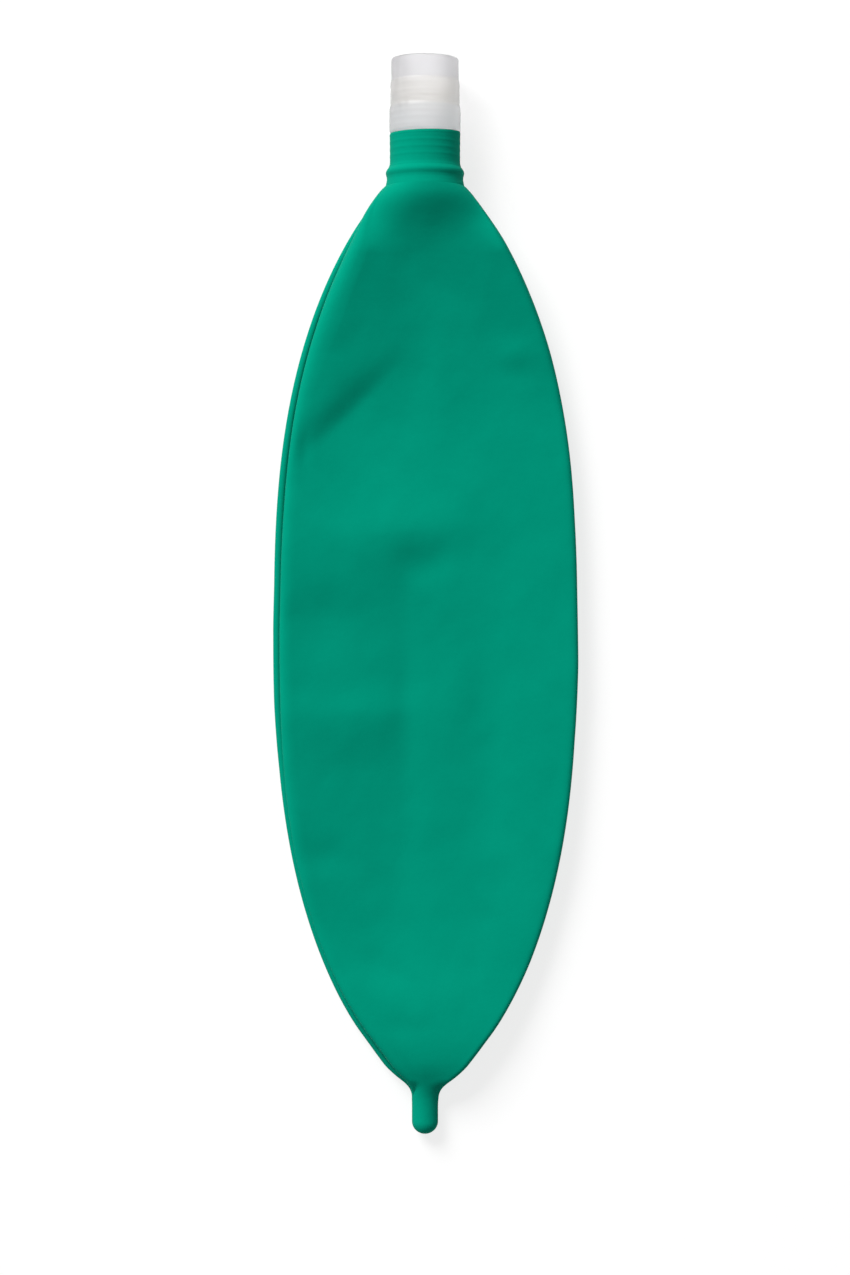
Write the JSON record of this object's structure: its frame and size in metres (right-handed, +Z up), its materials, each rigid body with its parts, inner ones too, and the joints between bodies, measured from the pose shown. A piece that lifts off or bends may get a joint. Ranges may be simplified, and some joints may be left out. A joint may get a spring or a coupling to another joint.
{
  "type": "breathing bag",
  "caption": "Soft folded breathing bag with a pleat at each side, a ribbed push-in bushing with a 22 mm female socket in its collared neck, and a solid tail nub.",
  "frame": {"origin": "centre of the bushing's socket mouth, on the neck's axis; the bag lies flat below and behind it on a surface 15 mm lower", "axes": "+Y out of the socket's mouth, +X to the bag's right seen from above with the neck away, +Z up"},
  "size_m": [0.1152, 0.4086, 0.03],
  "materials": {
    "bag_rubber": "satin, smooth dipped skin",
    "bushing_plastic": "translucent natural, satin"
  },
  "bodies": {
    "bag": {"rear_wall": "bag_rubber", "left_pleat": "bag_rubber", "right_pleat": "bag_rubber"},
    "front": {"front_wall": "bag_rubber"},
    "neck": {"neck_sleeve": "bag_rubber", "neck_collar": "bag_rubber", "shoulder": "bag_rubber"},
    "bushing": {"bushing": "bushing_plastic"},
    "tail": {"tail": "bag_rubber"}
  },
  "joints": [
    {"name": "fill_rise", "type": "slide", "parent": "bag", "child": "front", "axis": [0, 0, 1], "range_m": [0, 0.045], "deforming": ["left_pleat", "right_pleat"]},
    {"name": "neck_bend", "type": "hinge", "parent": "bag", "child": "neck", "pos_m": [0, -0.0743, 0.0055], "axis": [1, 0, 0], "range_deg": [0, 45]},
    {"name": "bushing_pull", "type": "slide", "parent": "neck", "child": "bushing", "axis": [0, 1, 0], "range_m": [0, 0.03]},
    {"name": "tail_bend", "type": "hinge", "parent": "bag", "child": "tail", "pos_m": [0, -0.3821, -0.0048], "axis": [-1, 0, 0], "range_deg": [0, 60]}
  ]
}
